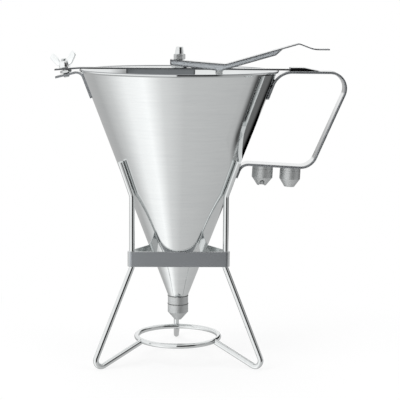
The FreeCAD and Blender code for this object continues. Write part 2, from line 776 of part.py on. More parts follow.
def build_bush():
    bush = turned("bush", [
        ("rod_radius + running_gap", "spring_top - bush_spigot"),
        ("bush_spigot_radius", "spring_top - bush_spigot"),
        ("bush_spigot_radius", "spring_top"), ("bush_shoulder_radius", "spring_top"),
        ("bush_shoulder_radius", "flange_base"), ("bush_radius", "flange_base"),
        ("bush_radius", "bar_top + bush_above"),
        ("rod_radius + running_gap", "bar_top + bush_above")])
    keep(bush, "guide_bush")
    hexagon = plain("Prism", "bush_hexagon", {"Circumradius": "bush_nut_flats / 2 / cos(30)",
                                              "Height": "bush_nut_height"}, raised("bar_top"))
    bore = plain("Cylinder", "bush_nut_thread", {"Radius": "bush_radius",
                                                 "Height": "bush_nut_height"},
                 raised("bar_top"))
    keep(cut("bush_nut_bore", hexagon, bore), "bush_nut")


def build_plunger():
    """The valve rod, its plug, spring seat, cross pin and cap nut."""
    rod = plain("Cylinder", "rod", {"Radius": "rod_radius", "Height": "rod_end - plug_top"},
                raised("plug_top"))
    pin = plain("Cylinder", "cross_pin",
                {"Radius": "cross_pin_radius",
                 "Height": "2 * (seat_hub_radius + cross_pin_overhang)"},
                "placement(vector(0; seat_hub_radius + cross_pin_overhang;"
                " cross_pin_height); rotation(vector(1; 0; 0); 90))")
    keep(pin, "retaining_pin")
    keep(cut("rod_drilled", rod, pin), "plunger_rod")
    seat = turned("seat", [
        ("rod_radius", "seat_disc_base - seat_hub"),
        ("seat_hub_radius", "seat_disc_base - seat_hub"), ("seat_hub_radius", "seat_disc_base"),
        ("seat_disc_radius", "seat_disc_base"), ("seat_disc_radius", "spring_base"),
        ("rod_radius", "spring_base")])
    keep(cut("seat_drilled", seat, pin), "spring_seat")
    plug = turned("plug", [
        ("0", "plug_base - pilot_length"), ("pilot_radius", "plug_base - pilot_length"),
        ("pilot_radius", "pilot_top"), ("plug_radius", "plug_top"),
        ("plug_hub_radius", "plug_top"), ("plug_hub_radius", "plug_top + plug_hub"),
        ("rod_radius", "plug_top + plug_hub"), ("rod_radius", "plug_top"), ("0", "plug_top")])
    keep(plug, "valve_plug")
    hexagon = plain("Prism", "cap_hexagon", {"Circumradius": "nut_corner",
                                             "Height": "cap_hex_height"}, raised("cap_base"))
    dome = turned("cap_dome", [
        ("0", "cap_base"), ("cap_dome_radius", "cap_base"),
        ("cap_dome_radius", "cap_base + cap_hex_height"),
        ("cap_crown_radius", "cap_base + cap_nut_height"),
        ("0", "cap_base + cap_nut_height")], [None, None, None, "cap_crown_round", None])
    joined = doc.addObject("Part::Fuse", "cap_solid")
    joined.Base = hexagon
    joined.Tool = dome
    keep(cut("cap_bore", joined, rod), "cap_nut")


def build_lever():
    """The channel-shaped thumb lever and the pin that it turns on."""
    body = new_body("lever")
    side = new_sketch(body, "lever_outline", "XZ_Plane")
    flange_low = "elbow_under_z - flange_depth + lever_sheet"
    lug_top = f"{flange_low} + (pivot_reach + lug_half_width - elbow_under_x) * tan(lever_rise)"
    rounded(side, [
        ("-lever_tail", "tail_height"), ("-lever_tail", "tail_height - tail_depth"),
        ("pivot_reach - lug_half_width", flange_low),
        ("pivot_reach - lug_half_width", "pivot_height - lug_below"),
        ("pivot_reach + lug_half_width", "pivot_height - lug_below"),
        ("pivot_reach + lug_half_width", flange_low),
        ("lever_flange_end",
         f"{flange_low} + (lever_flange_end - pivot_reach - lug_half_width) * tan(lever_rise)"),
        ("lever_web_end",
         "elbow_under_z + (lever_web_end - elbow_under_x) * tan(lever_rise)"),
        ("peak_under_x", "peak_under_z"), ("thumb_under_x", "thumb_height - lever_sheet"),
        ("thumb_end", "thumb_height - lever_sheet"), ("thumb_end", "thumb_height"),
        ("thumb_start", "thumb_height"), ("lever_peak", "peak_height"),
        ("lever_elbow", "elbow_height")],
        [None, "lever_sheet", None, "lug_round", "lug_round", None, "lever_sheet", None,
         "peak_bend", "thumb_bend + lever_sheet", None, None, "thumb_bend",
         "peak_bend + lever_sheet", "lever_elbow_bend"], True)
    pad(body, "lever_block", side, "lever_width")
    room = new_sketch(body, "lever_room", "XZ_Plane")
    tail_under = ("elbow_under_z + (elbow_under_x + lever_tail + 1) * tan(lever_fall)")
    rounded(room, [
        ("-lever_tail - 1", tail_under), ("-lever_tail - 1", "pivot_height - lug_below - 1"),
        ("lever_web_end + 2", "pivot_height - lug_below - 1"),
        ("lever_web_end + 2",
         "elbow_under_z + (lever_web_end + 2 - elbow_under_x) * tan(lever_rise)"),
        ("elbow_under_x", "elbow_under_z")],
        [None, None, None, None, "lever_elbow_bend + lever_sheet"], True)
    pocket(body, "lever_channel", room, "lever_width - 2 * lever_sheet")
    slot = new_sketch(body, "lever_slot_outline", "XY_Plane", "lever_height")
    rounded(slot, [("-slot_tail", "-slot_width / 2"), ("slot_nose", "-slot_width / 2"),
                   ("slot_nose", "slot_width / 2"), ("-slot_tail", "slot_width / 2")],
            ["slot_round"] * 4, True)
    pocket(body, "lever_slot", slot, "6 * lever_sheet")
    hole = new_sketch(body, "pin_hole_outline", "XZ_Plane")
    circle_at(hole, ("pivot_reach", "pivot_height"), "pivot_radius")
    pocket(body, "pin_hole", hole, "2 * lever_width")
    keep(body, "thumb_lever")
    half = "lever_width / 2"
    pin = turned("pivot", [
        ("0", f"-{half} - pivot_head"), ("pivot_head_radius", f"-{half} - pivot_head"),
        ("pivot_head_radius", f"-{half}"), ("pivot_radius", f"-{half}"),
        ("pivot_radius", half), ("pivot_head_radius", half),
        ("pivot_head_radius", f"{half} + pivot_head"), ("0", f"{half} + pivot_head")])
    bind(pin, "Placement", "placement(vector(pivot_reach; 0; pivot_height);"
                           " rotation(vector(1; 0; 0); 90))")
    keep(pin, "pivot_pin")


def biarc(start, start_way, end, end_way):
    """Two tangent arcs between two points with the given unit directions."""
    span = end - start
    both = start_way + end_way
    spread = 2 * (1 - start_way.dot(end_way))
    along = span.dot(both)
    reach = (-along + math.sqrt(along * along + spread * span.dot(span))) / spread
    first = start + start_way * reach
    second = end - end_way * reach
    join = (first + second) / 2
    arcs = []
    for corner, near, far in ((first, start, join), (second, join, end)):
        middle = (near + far) / 2
        half = (corner - near).getAngle(far - corner) / 2
        lift = math.cos(half) / (1 + math.cos(half))
        arcs.append(Part.Arc(near, middle + (corner - middle) * lift, far).toShape())
    return arcs


def build_spring():
    """The return spring: one helix with ends that stand square on what they meet."""
    radius = number("spring_radius")
    wire = number("spring_wire_radius")
    low = number("spring_base")
    high = number("spring_top")
    turns = number("spring_turns")
    straight = 2 * wire
    rise = 2 * straight
    pitch = (high - low - 2 * rise) / turns
    slope = pitch / (2 * math.pi)

    def on_helix(angle):
        point = Vector(radius * math.cos(angle), radius * math.sin(angle),
                       low + rise + slope * angle)
        way = Vector(-radius * math.sin(angle), radius * math.cos(angle), slope)
        return point, way.normalize()

    up = Vector(0, 0, 1)
    bend = 0.35
    last = 2 * math.pi * turns
    foot = Vector(radius * math.cos(-bend), radius * math.sin(-bend), low)
    head = Vector(radius * math.cos(last + bend), radius * math.sin(last + bend), high)
    edges = [Part.LineSegment(foot, foot + up * straight).toShape()]
    point, way = on_helix(0)
    edges += biarc(foot + up * straight, up, point, way)
    steps = int(round(4 * turns))
    for step in range(steps):
        start = on_helix(last * step / steps)
        end = on_helix(last * (step + 1) / steps)
        edges += biarc(start[0], start[1], end[0], end[1])
    point, way = on_helix(last)
    edges += biarc(point, way, head - up * straight, up)
    edges.append(Part.LineSegment(head - up * straight, head).toShape())
    line = Part.Wire(edges)
    section = Part.Wire(Part.Circle(foot, up, wire).toShape())
    shape = Part.BRepOffsetAPI.MakePipeShell(line)
    shape.add(section)
    shape.build()
    shape.makeSolid()
    item = doc.addObject("Part::Feature", "spring")
    item.Shape = shape.shape()
    keep(item, "return_spring")
    report_gap(line, wire, pitch)


def report_gap(line, wire, pitch):
    """Print the least gap between stretches of the spring's wire that aren't neighbours."""
    points = line.discretize(Distance=0.6)
    skip = int(4 * wire / 0.6) + 2
    least = min((points[i] - points[j]).Length
                for i in range(len(points)) for j in range(i + skip, len(points)))
    print(f"return_spring pitch {pitch:.2f} mm, least gap {least - 2 * wire:.2f} mm")


ring = build_ring()
for label, azimuth in (("rear_leg", 90), ("front_left_leg", 210), ("front_right_leg", 330)):
    build_leg(label, azimuth, ring)
build_band()
build_cone()
build_collar()
cone_solid = plain("Cone", "cone_solid",
                   {"Radius1": "neck_radius", "Radius2": "flare_radius",
                    "Height": "flare_height - neck_height"}, raised("neck_height"))
keep(build_nozzle("fitted", "collar_base - screw_gap", "fitted_outlet"), "fitted_nozzle")
build_handle(cone_solid)
build_spare("left", "left_outlet", True)
build_spare("right", "right_outlet", False)
build_keeper()
stud = build_clamp()
build_bracket(cone_solid, stud)
build_bar()
build_bush()
build_plunger()
build_lever()
build_spring()
doc.recompute()

for item in doc.Objects:
    if "Invalid" in item.State or "Error" in item.State:
        raise RuntimeError(f"{item.Label} did not recompute: {item.getStatusString()}")
os.makedirs("parts", exist_ok=True)
for item in PARTS:
    shape = item.Shape
    if shape.isNull() or not shape.isValid() or len(shape.Solids) != 1:
        raise RuntimeError(f"{item.Label} is not one valid solid")
    shape.exportStep(f"parts/{item.Label}.step")
    box = shape.BoundBox
    print(f"{item.Label:18s} {shape.Volume:9.0f} mm3  X {box.XMin:7.1f} {box.XMax:7.1f}"
          f"  Y {box.YMin:6.1f} {box.YMax:6.1f}  Z {box.ZMin:6.1f} {box.ZMax:6.1f}")
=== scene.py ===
import math

import bmesh
import bpy
from mathutils import Matrix, Vector


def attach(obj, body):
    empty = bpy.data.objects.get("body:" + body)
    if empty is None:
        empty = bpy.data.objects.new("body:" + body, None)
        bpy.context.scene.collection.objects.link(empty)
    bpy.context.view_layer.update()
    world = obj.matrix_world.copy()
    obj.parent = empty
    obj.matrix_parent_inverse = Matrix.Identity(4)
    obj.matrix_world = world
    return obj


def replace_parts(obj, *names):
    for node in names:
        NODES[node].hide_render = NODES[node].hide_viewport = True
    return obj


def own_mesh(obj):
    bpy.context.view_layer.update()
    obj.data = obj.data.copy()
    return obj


# Looks for the dosing funnel. Places are in metres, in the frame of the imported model,
# and the profiles and paths of the turned and bent pieces are in millimetres.
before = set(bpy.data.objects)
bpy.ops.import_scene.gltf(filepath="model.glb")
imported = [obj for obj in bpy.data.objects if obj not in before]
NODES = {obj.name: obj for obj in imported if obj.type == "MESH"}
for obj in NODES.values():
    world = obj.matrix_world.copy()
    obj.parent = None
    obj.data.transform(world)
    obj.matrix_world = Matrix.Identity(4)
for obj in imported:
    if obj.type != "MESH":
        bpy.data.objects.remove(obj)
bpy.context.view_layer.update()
MM = 0.001

# camera at the photograph's place
FOCAL_PIXELS = 1332.0
PICTURE_PIXELS = 400.0
SENSOR_WIDTH = 36.0
CAMERA_PLACE = (0.02136, -1.317, 0.35459)
CAMERA_DOWN, CAMERA_ROLL = 8.32, 0.5
camera_data = bpy.data.cameras.new("camera")
camera_data.sensor_width = SENSOR_WIDTH
camera_data.lens = FOCAL_PIXELS / PICTURE_PIXELS * camera_data.sensor_width
camera_data.clip_end = 20.0
camera = bpy.data.objects.new("camera", camera_data)
camera.matrix_world = (Matrix.Translation(CAMERA_PLACE)
                       @ Matrix.Rotation(math.radians(90 - CAMERA_DOWN), 4, "X")
                       @ Matrix.Rotation(math.radians(CAMERA_ROLL), 4, "Z"))
bpy.context.collection.objects.link(camera)
bpy.context.scene.camera = camera
bpy.context.scene.view_settings.view_transform = "Standard"


# ---- materials
class Nodes:
    """Short names for building a node tree."""

    def __init__(self, material):
        material.use_nodes = True
        self.tree = material.node_tree
        self.tree.nodes.clear()

    def add(self, kind, **settings):
        node = self.tree.nodes.new("ShaderNode" + kind)
        for name, value in settings.items():
            setattr(node, name, value)
        return node

    def join(self, source, target):
        self.tree.links.new(source, target)

    def maths(self, operation, *values):
        """The result of a Math node on sockets or numbers."""
        node = self.add("Math", operation=operation)
        for socket, value in zip(node.inputs, values):
            if isinstance(value, (int, float)):
                socket.default_value = value
            else:
                self.join(value, socket)
        return node.outputs[0]

    def axes(self, vector):
        node = self.add("SeparateXYZ")
        self.join(vector, node.inputs[0])
        return node.outputs

    def bearing(self, axes):
        """The angle of a direction about Z, from the camera's side (-Y) towards +X."""
        return self.maths("ARCTAN2", axes["X"], self.maths("MULTIPLY", axes["Y"], -1.0))

    def scaled(self, coords, scale):
        node = self.add("Mapping")
        node.inputs["Scale"].default_value = scale
        self.join(coords, node.inputs["Vector"])
        return node.outputs["Vector"]

    def noise(self, vector, scale, detail=4.0, roughness=0.55):
        node = self.add("TexNoise")
        node.inputs["Scale"].default_value = scale
        node.inputs["Detail"].default_value = detail
        node.inputs["Roughness"].default_value = roughness
        self.join(vector, node.inputs["Vector"])
        return node.outputs["Fac"]

    def ranged(self, value, low, high, new_low, new_high):
        node = self.add("MapRange")
        for name, number in (("From Min", low), ("From Max", high),
                             ("To Min", new_low), ("To Max", new_high)):
            node.inputs[name].default_value = number
        self.join(value, node.inputs["Value"])
        return node.outputs["Result"]

    def two_colours(self, value, dark, light):
        node = self.add("ValToRGB")
        for element, place, colour in zip(node.color_ramp.elements, (0.3, 0.7), (dark, light)):
            element.color = (*colour, 1)
            element.position = place
        self.join(value, node.inputs["Fac"])
        return node.outputs["Color"]

    def mixed(self, share, first, second):
        node = self.add("Mix", data_type="RGBA")
        self.join(share, node.inputs[0])
        self.join(first, node.inputs[6])
        self.join(second, node.inputs[7])
        return node.outputs[2]

    def finish(self, surface):
        self.join(surface, self.add("OutputMaterial").inputs["Surface"])


def grey(dark, light):
    """Two near-neutral shades with the faint cool tone of stainless steel."""
    return (dark * 0.97, dark * 0.995, dark), (light * 0.98, light * 1.003, light)


def cool(n, value, shade, dip):
    """Painted shade: the bluish grey of steel that mirrors a dim room, dipping where a noise
    is low.
    """
    dark, light = ((s * 0.94, s * 0.985, s * 1.03) for s in (shade * dip, shade))
    return n.two_colours(value, dark, light)


SCRATCH_STRETCH, SCRATCH_SCALE, SCRATCH_SHARE = (30.0, 1.5, 9.0), 190.0, 0.35
CLOUD_SCALE = 34.0
BUMP_DEPTH = 0.00002
CORNER_SHADE_REACH = 0.0032
RIM_SHADE_BLEND = 0.0002


def sheared(n, place, cloud, colour, rough, finish):
    """Colour and roughness, with a painted shade and a roughness of their own, given as
    (shade, roughness), on the sides that face along Y.
    """
    size = n.maths("ABSOLUTE", n.axes(place.outputs["Normal"])["Y"])
    side = n.ranged(size, 0.72, 0.9, 0.0, 1.0)
    blend = n.add("Mix", data_type="FLOAT")
    n.join(side, blend.inputs[0])
    n.join(rough, blend.inputs[2])
    blend.inputs[3].default_value = finish[1]
    return n.mixed(side, colour, cool(n, cloud, finish[0], 0.93)), blend.outputs[0]


def painted_corner_shade(n, cloud, colour, shade):
    """A colour with painted shade: dark lines along a piece's corners."""
    blunt = n.add("Bevel", samples=6)
    blunt.inputs["Radius"].default_value = CORNER_SHADE_REACH
    match = n.add("VectorMath", operation="DOT_PRODUCT")
    n.join(blunt.outputs[0], match.inputs[0])
    n.join(n.add("NewGeometry").outputs["Normal"], match.inputs[1])
    corner = n.ranged(match.outputs["Value"], 0.95, 0.992, 1.0, 0.0)
    return n.mixed(corner, colour, cool(n, cloud, shade, 0.85))


def painted_rim_shade(n, coords, cloud, colour, height, shade):
    """A colour with a painted dark shade on the rim bead above a height."""
    top = n.ranged(n.axes(coords)["Z"], height - RIM_SHADE_BLEND, height + RIM_SHADE_BLEND, 0.0, 1.0)
    return n.mixed(top, colour, cool(n, cloud, shade, 0.9))


def steel(name, shades, rough, grain, grain_scale, bump, smudge=0.03, edge=None, corner=None,
          bead=None):
    """Stainless steel: drawn or turned grain, faint smudges and fine scratches.

    edge is (painted shade, roughness) of the sides that face along Y, corner the painted shade
    of the dark lines along the corners, and bead is (height, painted shade) of the rim's top.
    """
    material = bpy.data.materials.new(name)
    n = Nodes(material)
    place = n.add("TexCoord")
    coords = place.outputs["Object"]
    lines = n.noise(n.scaled(coords, grain), grain_scale, detail=6.0, roughness=0.7)
    cloud = n.noise(coords, CLOUD_SCALE, detail=3.0)
    scratch = n.noise(n.scaled(coords, SCRATCH_STRETCH), SCRATCH_SCALE, detail=2.0,
                      roughness=0.8)
    shader = n.add("BsdfPrincipled")
    shader.inputs["Metallic"].default_value = 1.0
    colour = n.two_colours(lines, *shades)
    total = n.maths("ADD", n.ranged(lines, 0.3, 0.7, *rough),
                    n.ranged(cloud, 0.35, 0.75, 0.0, smudge))
    if edge is not None:
        colour, total = sheared(n, place, cloud, colour, total, edge)
    if corner is not None:
        colour = painted_corner_shade(n, cloud, colour, corner)
    if bead is not None:
        colour = painted_rim_shade(n, coords, cloud, colour, *bead)
    n.join(colour, shader.inputs["Base Color"])
    n.join(total, shader.inputs["Roughness"])
    bumps = n.add("Bump")
    bumps.inputs["Strength"].default_value = bump
    bumps.inputs["Distance"].default_value = BUMP_DEPTH
    n.join(n.maths("MULTIPLY_ADD", scratch, SCRATCH_SHARE, lines), bumps.inputs["Height"])
    n.join(bumps.outputs["Normal"], shader.inputs["Normal"])
    n.finish(shader.outputs["BSDF"])
    return material


# stretches of the grain, which runs round Z on turned pieces, along a bent strip, along Z
# on drawn wire, along X on a flat bar, or evenly
TURNED_SHEET, BENT_STRIP, DRAWN = (1.0, 1.0, 14.0), (1.0, 22.0, 1.0), (9.0, 9.0, 1.0)
BRUSHED, LATHE_MARKS, EVEN = (0.7, 24.0, 24.0), (1.0, 1.0, 40.0), (6.0, 6.0, 6.0)

# the cone's rim bead above 291.1 mm takes a painted dark shade
POLISHED = steel("polished_sheet", grey(0.76, 0.80), (0.04, 0.07), TURNED_SHEET, 30.0, 0.0,
                 smudge=0.02, bead=(0.2911, 0.30))
# edge paints the sides that face along Y darker (lighter on the lever) as painted shade and
# light, and corner paints shade along the corners
STRIP = steel("polished_strip", grey(0.66, 0.74), (0.06, 0.12), BENT_STRIP, 60.0, 0.1,
              edge=(0.62, 0.34), corner=0.22)
WIRE = steel("bright_wire", grey(0.74, 0.80), (0.05, 0.08), DRAWN, 40.0, 0.0)
SATIN = steel("satin_sheet", grey(0.66, 0.76), (0.08, 0.16), (1.0, 1.0, 30.0), 55.0, 0.3,
              edge=(0.465, 0.42))
BAR = steel("satin_bar", grey(0.62, 0.72), (0.12, 0.22), BRUSHED, 50.0, 0.25,
            edge=(0.23, 0.06), corner=0.06)
LEVER = steel("satin_lever", grey(0.66, 0.76), (0.16, 0.28), BRUSHED, 50.0, 0.25,
              edge=(0.93, 0.50), corner=0.05)
TURNED = steel("turned_steel", grey(0.60, 0.74), (0.46, 0.54), LATHE_MARKS, 60.0, 0.4)
SCREW = steel("fastener_steel", grey(0.70, 0.82), (0.08, 0.18), (6.0, 6.0, 18.0), 60.0, 0.2)
SPRING = steel("spring_steel", grey(0.50, 0.62), (0.15, 0.25), (8.0, 8.0, 8.0), 60.0, 0.3)
# near-black steel used as painted shade: on the wings' edges, along the legs' contact with the
# cone, and in the collar's groove and joint
PAINTED_SHADE = steel("painted_shade_steel", grey(0.16, 0.24), (0.20, 0.30), EVEN, 120.0, 0.4)
# steel painted lighter than its own tone: a painted highlight on the wing nut's hub and wing
# faces
HIGHLIGHT_CASTING = steel("painted_highlight_casting", grey(0.88, 0.95), (0.10, 0.20), EVEN, 60.0, 0.2)
WELD = steel("weld_seam", grey(0.38, 0.60), (0.25, 0.45), EVEN, 160.0, 0.6)

LOOKS = {
    "funnel_cone": POLISHED, "stand_band": SATIN, "handle_strip": STRIP,
    "stud_bracket": STRIP, "handle_keeper": BAR, "bridge_bar": BAR, "thumb_lever": LEVER,
    "front_left_leg": WIRE, "front_right_leg": WIRE, "rear_leg": WIRE, "base_ring": WIRE,
    "return_spring": SPRING, "clamp_stud": SCREW, "stud_nut": SCREW, "wing_nut": SCREW,
    "bush_nut": SCREW, "cap_nut": SCREW, "retaining_pin": SCREW,
}


def dress(obj, material):
    obj.data.materials.clear()
    obj.data.materials.append(material)


for name, node in NODES.items():
    dress(node, LOOKS.get(name, TURNED))


def soften(node, width):
    """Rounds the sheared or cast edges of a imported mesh, by a width in millimetres."""
    weld = node.modifiers.new("join", "WELD")
    weld.merge_threshold = 0.005 * MM
    bevel = node.modifiers.new("edges", "BEVEL")
    bevel.width = width * MM
    bevel.segments = 3
    bevel.limit_method = "ANGLE"
    bevel.angle_limit = math.radians(32)
    bevel.use_clamp_overlap = True
    bevel.harden_normals = False
    normals = node.modifiers.new("normals", "WEIGHTED_NORMAL")
    normals.keep_sharp = False
    normals.weight = 80


for name, width in (("bridge_bar", 0.45), ("thumb_lever", 0.5), ("handle_strip", 0.7),
                    ("handle_keeper", 0.35), ("stud_bracket", 0.6), ("stand_band", 0.3),
                    ("pivot_pin", 0.25)):
    soften(NODES[name], width)


# ---- ways to build a piece
def new_mesh(name, bm, body, material, smooth=35.0):
    """A piece from a bmesh, with sharp edges kept past an angle."""
    mesh = bpy.data.meshes.new(name)
    bm.to_mesh(mesh)
    bm.free()
    mesh.shade_smooth()
    mesh.set_sharp_from_angle(angle=math.radians(smooth))
    obj = bpy.data.objects.new(name, mesh)
    bpy.context.collection.objects.link(obj)
    dress(obj, material)
    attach(obj, body)
    return obj


def lathe(name, profile, body, material, steps=192, place=None, shape=None, smooth=35.0):
    """A turned piece from a closed profile of (radius, height).

    shape(angle, radius, height) may trim the radius, as for the flats of a nut.
    """
    bm = bmesh.new()
    rows = []
    for radius, height in profile:
        if radius == 0:
            rows.append([bm.verts.new((0, 0, height * MM))] * steps)
            continue
        row = []
        for i in range(steps):
            angle = 2 * math.pi * i / steps
            reach = shape(angle, radius, height) if shape else radius
            row.append(bm.verts.new((reach * MM * math.cos(angle),
                                     reach * MM * math.sin(angle), height * MM)))
        rows.append(row)
    for a in range(len(rows)):
        low, high = rows[a], rows[(a + 1) % len(rows)]
        for i in range(steps):
            j = (i + 1) % steps
            corners = []
            for vert in (low[i], low[j], high[j], high[i]):
                if vert not in corners:
                    corners.append(vert)
            if len(corners) > 2:
                bm.faces.new(corners)
    bmesh.ops.recalc_face_normals(bm, faces=bm.faces)
    if place is not None:
        bmesh.ops.transform(bm, matrix=place, verts=bm.verts)
    return new_mesh(name, bm, body, material, smooth)


def tube(name, path, radius, body, material, around=20, ripple=0.0, taper=0, closed=False):
    """A round rod along a list of points, rippled like a weld and tapered if asked."""
    points = [Vector(p) * MM for p in path]
    bm = bmesh.new()
    rings = []
    side = None
    for index, point in enumerate(points):
        ahead = points[min(index + 1, len(points) - 1)] - points[max(index - 1, 0)]
        if closed:
            ahead = points[(index + 1) % len(points)] - points[index - 1]
        ahead.normalize()
        if side is None:
            side = ahead.orthogonal().normalized()
        side = (side - ahead * side.dot(ahead)).normalized()
        other = ahead.cross(side)
        reach = radius * MM * (1 + ripple * math.sin(index * 1.6))
        end = min(index, len(points) - 1 - index)
        if taper and end < taper:
            reach *= math.sin(math.pi / 2 * (end + 0.35) / taper)
        rings.append([bm.verts.new(point + reach * (side * math.cos(t) + other * math.sin(t)))
                      for t in (2 * math.pi * k / around for k in range(around))])
    for low, high in zip(rings, rings[1:] + rings[:1] if closed else rings[1:]):
        for i in range(around):
            j = (i + 1) % around
            bm.faces.new((low[i], low[j], high[j], high[i]))
    if not closed:
        bm.faces.new(list(reversed(rings[0])))
        bm.faces.new(rings[-1])
    bmesh.ops.recalc_face_normals(bm, faces=bm.faces)
    return new_mesh(name, bm, body, material, 50.0)


def plate(name, outline, thick, round_by, body, faces, edges, place):
    """A flat piece in the XZ plane with rounded edges in a second material, which on the wings
    is painted shade.
    """
    bm = bmesh.new()
    front = [bm.verts.new((x * MM, -thick / 2 * MM, z * MM)) for x, z in outline]
    back = [bm.verts.new((x * MM, thick / 2 * MM, z * MM)) for x, z in outline]
    bm.faces.new(front)
    bm.faces.new(list(reversed(back)))
    for i in range(len(outline)):
        j = (i + 1) % len(outline)
        bm.faces.new((front[i], back[i], back[j], front[j]))
    bmesh.ops.recalc_face_normals(bm, faces=bm.faces)
    rims = [e for e in bm.edges if abs(e.verts[0].co.y - e.verts[1].co.y) < 1e-9]
    bmesh.ops.bevel(bm, geom=rims, offset=round_by * MM, segments=4, profile=0.5,
                    affect="EDGES")
    for face in bm.faces:
        face.material_index = 0 if abs(face.normal.y) > 0.9 else 1
    bmesh.ops.transform(bm, matrix=place, verts=bm.verts)
    obj = new_mesh(name, bm, body, faces, 50.0)
    obj.data.materials.append(edges)
    return obj


def arc(middle, radius, start, end, count):
    """Points on an arc between two angles in degrees."""
    return [(middle[0] + radius * math.cos(math.radians(start + (end - start) * i / count)),
             middle[1] + radius * math.sin(math.radians(start + (end - start) * i / count)))
            for i in range(count + 1)]


def line(start, end, count):
    """Points on a straight line, both ends included."""
    return [tuple(a + (b - a) * i / count for a, b in zip(start, end))
            for i in range(count + 1)]


def rounded_outline(corners, radii, count=6):
    """An outline whose corners are rounded by arcs, and kept sharp where a radius is 0."""
    result = []
    total = len(corners)
    for i, radius in enumerate(radii):
        here = Vector(corners[i])
        back = (Vector(corners[i - 1]) - here).normalized()
        ahead = (Vector(corners[(i + 1) % total]) - here).normalized()
        if not radius:
            result.append(tuple(here))
            continue
        half = back.angle(ahead) / 2
        middle = here + (back + ahead).normalized() * radius / math.sin(half)
        start = here + back * radius / math.tan(half) - middle
        end = here + ahead * radius / math.tan(half) - middle
        sweep = start.angle_signed(end)
        for k in range(count + 1):
            turn = Matrix.Rotation(-sweep * k / count, 2)
            result.append(tuple(middle + turn @ start))
    return result


def hexagon(flats):
    """Trims a turned blank to the six flats of a nut, with corners along X."""
    def trim(angle, radius, height):
        turn = (angle + math.pi / 6) % (math.pi / 3) - math.pi / 6
        return min(radius, flats / 2 / math.cos(math.pi / 6 - abs(turn)))
    return trim


def threads(radius, pitch, depth, low, high):
    """Cuts a screw thread between two heights of a turned blank."""
    def trim(angle, reach, height):
        if reach < radius - 1e-6 or not low <= height <= high:
            return reach
        phase = (height / pitch - angle / (2 * math.pi)) % 1.0
        return radius - depth * abs(2 * phase - 1)
    return trim


def leaning(x, z, lean, turn=0.0):
    """A place in the XZ plane that leans back from +X by an angle, after a turn about Z."""
    return (Matrix.Translation((x * MM, 0, z * MM))
            @ Matrix.Rotation(math.radians(-lean), 4, "Y")
            @ Matrix.Rotation(math.radians(turn), 4, "Z"))


# ---- cone
CONE_ANGLE = math.radians(20.917)
CONE_SLOPE = math.tan(CONE_ANGLE)
NECK_RADIUS, NECK_HEIGHT = 9.9, 64.7
RIM_HEIGHT, FLARE_HEIGHT, LIP_BEAD, LIP_ROUND = 291.8, 288.6, 1.8, 0.8
WALL = 1.0 / math.cos(CONE_ANGLE)
FLARE_RADIUS = NECK_RADIUS + (FLARE_HEIGHT - NECK_HEIGHT) * CONE_SLOPE
LIP_RADIUS = FLARE_RADIUS + 2.75


def cone_radius(height):
    """The radius of the cone's outside at a height."""
    return NECK_RADIUS + (height - NECK_HEIGHT) * CONE_SLOPE


def cone_outline():
    outside = line((NECK_RADIUS, NECK_HEIGHT), (FLARE_RADIUS, FLARE_HEIGHT), 40)
    inside = line((FLARE_RADIUS - WALL, FLARE_HEIGHT), (NECK_RADIUS - WALL, NECK_HEIGHT), 40)
    top, out = RIM_HEIGHT - LIP_ROUND, LIP_RADIUS - LIP_ROUND
    inner = LIP_RADIUS - LIP_BEAD + LIP_ROUND
    lip = [(LIP_RADIUS, RIM_HEIGHT - LIP_BEAD)]
    lip += arc((out, top), LIP_ROUND, 0, 90, 6) + arc((inner, top), LIP_ROUND, 90, 180, 6)
    return outside + lip + inside


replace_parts(lathe("cone_sheet", cone_outline(), "funnel", POLISHED, steps=384, smooth=25.0),
            "funnel_cone")


# ---- fasteners
STUD_X, STUD_Z, STUD_LEAN = -112.280, 290.826, 10.0
STUD_TO_BAR = math.radians(5.6)
STUD = leaning(STUD_X, STUD_Z, STUD_LEAN)


def screw(name, radius, low, high, pitch, body, place):
    """A threaded stud with chamfered ends."""
    chamfer = 0.6 * pitch
    count = max(12, int((high - low) / pitch * 10))
    profile = [(0, low), (radius - chamfer, low)]
    profile += line((radius, low + chamfer), (radius, high - chamfer), count)
    profile += [(radius - chamfer, high), (0, high)]
    return lathe(name, profile, body, SCREW, steps=48, place=place,
                 shape=threads(radius, pitch, 0.55 * pitch, low, high), smooth=60.0)


def nut(name, flats, low, high, bore, body, place, corner=0.5, lead=0.4):
    """A hexagon nut with turned chamfers at both ends."""
    tip = flats / 2 / math.cos(math.pi / 6)
    edge = flats / 2 * 0.96
    profile = [(bore, low + lead), (bore + lead, low), (edge, low)]
    profile += line((edge, low), (tip, low + corner), 5)[1:]
    profile += line((tip, high - corner), (edge, high), 5)
    profile += [(bore + lead, high), (bore, high - lead)]
    return lathe(name, profile, body, SCREW, steps=96, place=place, shape=hexagon(flats),
                 smooth=20.0)


THIN_FLATS, THIN_HEIGHT = 10.0, 2.7
THIN_DROP = THIN_HEIGHT + THIN_FLATS / 2 / math.cos(math.pi / 6) * math.sin(STUD_TO_BAR)
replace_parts(screw("stud_thread", 3.0, -7.6, 11.0, 1.0, "funnel", STUD), "clamp_stud")
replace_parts(nut("thin_nut", THIN_FLATS, -THIN_DROP, -THIN_DROP + THIN_HEIGHT, 3.02, "funnel",
                STUD), "stud_nut")
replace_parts(nut("bush_lock_nut", 14.0, 293.5, 296.1, 5.02, "funnel", None), "bush_nut")


# ---- stand
LEG_PATH = ((66.215, 203.5), (53.197, 169.439), (53.197, 98.514),
            (99.732, -3.599), (42.64, 22.059))
LEG_BENDS = (0, 10.0, 5.0, 6.35, 0)
LEG_WIRE, LEG_STEP = 2.75, 4.0
RING_RADIUS, RING_HEIGHT, RING_WIRE, RING_STEPS = 41.5, 22.572, 2.5, 180
LEG_AZIMUTHS = (("rear", 90), ("front_left", 210), ("front_right", 330))
STAND_YAW = 1.94


